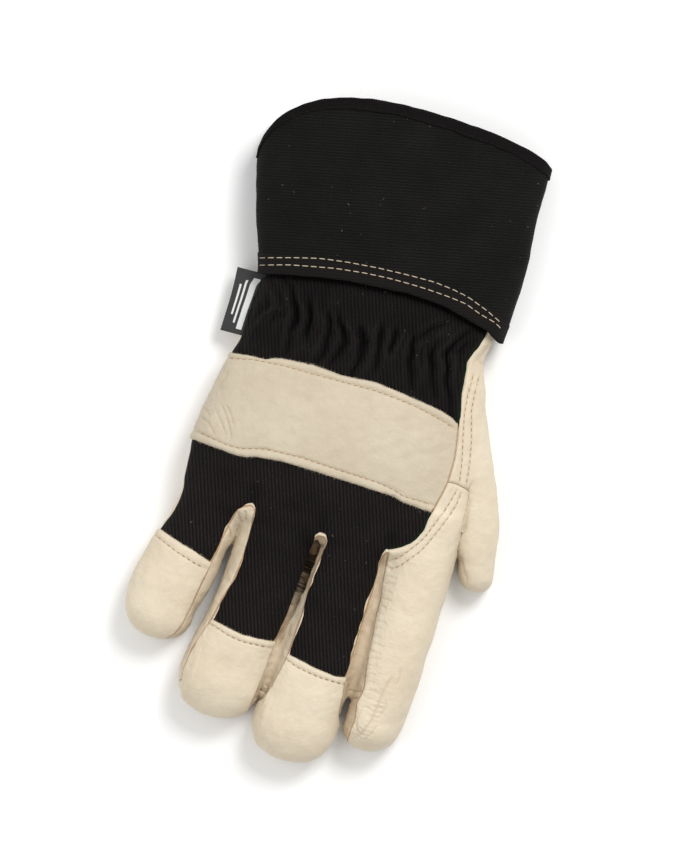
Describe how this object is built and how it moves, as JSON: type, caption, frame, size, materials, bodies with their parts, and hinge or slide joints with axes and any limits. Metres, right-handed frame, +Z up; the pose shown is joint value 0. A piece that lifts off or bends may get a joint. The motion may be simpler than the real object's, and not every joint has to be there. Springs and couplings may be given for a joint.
{
  "type": "driver glove",
  "caption": "Right-hand leather and drill work glove with a flared safety cuff, lying flat palm down, hollow for a hand.",
  "frame": {"origin": "centre of the glove's footprint, on the surface that it lies on", "axes": "+Y from the fingertips towards the cuff's mouth, +X towards the thumb, +Z up through the back of the hand"},
  "size_m": [0.1436, 0.2729, 0.0371],
  "materials": {
    "leather": "matte cream grain leather",
    "drill": "black cotton drill",
    "cuff_twill": "black rubberised twill",
    "binding_tape": "black woven bias tape",
    "label_weave": "black damask label with plain white woven bars"
  },
  "bodies": {
    "root": {"cuff": "cuff_twill", "cuff_binding": "binding_tape", "wrist_panel": "drill", "knuckle_strap": "leather", "knuckle_panel": "drill", "little_tip": "leather", "ring_tip": "leather", "middle_tip": "leather", "fourchette_little_ring": "leather", "fourchette_ring_middle": "leather", "fourchette_middle_index": "leather", "index_back": "leather", "ring_front": "leather", "middle_front": "leather", "palm": "leather", "thumb": "leather", "side_label": "label_weave"}
  },
  "joints": []
}
